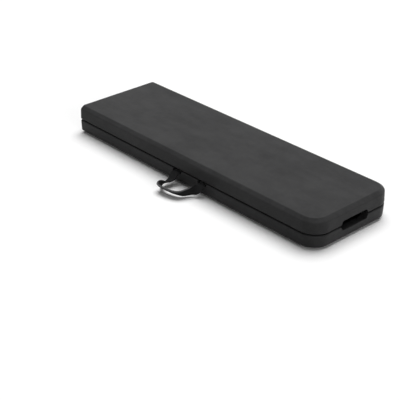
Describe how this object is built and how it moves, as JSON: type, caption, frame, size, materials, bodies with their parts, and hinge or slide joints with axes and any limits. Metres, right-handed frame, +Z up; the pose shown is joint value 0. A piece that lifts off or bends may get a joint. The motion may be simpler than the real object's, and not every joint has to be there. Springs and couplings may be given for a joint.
{
  "type": "fold-in-half camping bench",
  "caption": "Charcoal moulded bench that folds in half like a flat case, with steel leg frames and knee braces stored inside, a hand slot in the free end and a webbing handle.",
  "frame": {"origin": "middle of the base half's flat seat face, which lies on the ground when the bench is folded", "axes": "+X along the half to the free end with the hand slot, -Y to the handle side, +Z up"},
  "size_m": [0.9099, 0.3548, 0.08],
  "materials": {
    "moulded_shell": "matte moulded grain",
    "coated_steel": "black powder coat",
    "zinc_steel": "bright zinc",
    "black_plastic": "satin",
    "webbing": "woven"
  },
  "bodies": {
    "base": {"base_shell": "moulded_shell", "base_front_rail": "coated_steel", "base_rear_rail": "coated_steel", "base_front_hinge_ear": "coated_steel", "base_rear_hinge_ear": "coated_steel", "base_ear_rivets": "zinc_steel", "base_rail_screws": "zinc_steel", "base_leg_pivot_bolts": "zinc_steel", "base_leg_clips": "black_plastic", "base_brace_bracket": "coated_steel", "base_brace_pivot_pin": "zinc_steel", "base_bracket_screws": "zinc_steel", "hinge_pins": "zinc_steel", "hinge_washers": "zinc_steel", "strap_tails": "webbing", "strap_plates": "coated_steel", "strap_screws": "coated_steel"},
    "lid": {"lid_shell": "moulded_shell", "lid_front_rail": "coated_steel", "lid_rear_rail": "coated_steel", "lid_front_hinge_ear": "coated_steel", "lid_rear_hinge_ear": "coated_steel", "lid_ear_rivets": "zinc_steel", "lid_rail_screws": "zinc_steel", "lid_leg_pivot_bolts": "zinc_steel", "lid_leg_clips": "black_plastic", "lid_brace_bracket": "coated_steel", "lid_brace_pivot_pin": "zinc_steel", "lid_bracket_screws": "zinc_steel"},
    "base_leg": {"base_front_leg": "coated_steel", "base_rear_leg": "coated_steel", "base_leg_pivot_tube": "coated_steel", "base_leg_spreader": "coated_steel", "base_foot_caps": "black_plastic"},
    "base_brace_lower": {"base_brace_lower_link": "coated_steel"},
    "base_brace_upper": {"base_brace_upper_link": "coated_steel"},
    "lid_leg": {"lid_front_leg": "coated_steel", "lid_rear_leg": "coated_steel", "lid_leg_pivot_tube": "coated_steel", "lid_leg_spreader": "coated_steel", "lid_foot_caps": "black_plastic"},
    "lid_brace_lower": {"lid_brace_lower_link": "coated_steel"},
    "lid_brace_upper": {"lid_brace_upper_link": "coated_steel"},
    "handle": {"handle_strap": "webbing"}
  },
  "joints": [
    {"name": "fold", "type": "hinge", "parent": "base", "child": "lid", "pos_m": [-0.451, 0, 0.04], "axis": [0, -1, 0], "range_deg": [0, 180]},
    {"name": "base_leg_fold", "type": "hinge", "parent": "base", "child": "base_leg", "pos_m": [0.349, 0, 0.02625], "axis": [0, 1, 0], "range_deg": [0, 90]},
    {"name": "base_brace_lower_turn", "type": "hinge", "parent": "base_leg", "child": "base_brace_lower", "pos_m": [0.159, 0, 0.02625], "axis": [0, -1, 0], "range_deg": [0, 114.39]},
    {"name": "base_brace_upper_turn", "type": "hinge", "parent": "base", "child": "base_brace_upper", "pos_m": [-0.071, 0, 0.02625], "axis": [0, 1, 0], "range_deg": [0, 155.71]},
    {"name": "lid_leg_fold", "type": "hinge", "parent": "lid", "child": "lid_leg", "pos_m": [0.349, 0, 0.05375], "axis": [0, -1, 0], "range_deg": [0, 90]},
    {"name": "lid_brace_lower_turn", "type": "hinge", "parent": "lid_leg", "child": "lid_brace_lower", "pos_m": [0.159, 0, 0.05375], "axis": [0, 1, 0], "range_deg": [0, 114.39]},
    {"name": "lid_brace_upper_turn", "type": "hinge", "parent": "lid", "child": "lid_brace_upper", "pos_m": [-0.071, 0, 0.05375], "axis": [0, -1, 0], "range_deg": [0, 155.71]},
    {"name": "handle_swing", "type": "hinge", "parent": "base", "child": "handle", "pos_m": [0.016, -0.1426, 0.0323], "axis": [-1, 0, 0], "range_deg": [-6, 85]}
  ],
  "couplings": [
    {"joint": "base_leg_fold", "follows": "fold", "ratio": 0.5},
    {"joint": "base_brace_lower_turn", "follows": "fold", "ratio": 0.63523},
    {"joint": "base_brace_upper_turn", "follows": "fold", "ratio": 0.86477},
    {"joint": "lid_leg_fold", "follows": "fold", "ratio": 0.5},
    {"joint": "lid_brace_lower_turn", "follows": "fold", "ratio": 0.63523},
    {"joint": "lid_brace_upper_turn", "follows": "fold", "ratio": 0.86477}
  ]
}
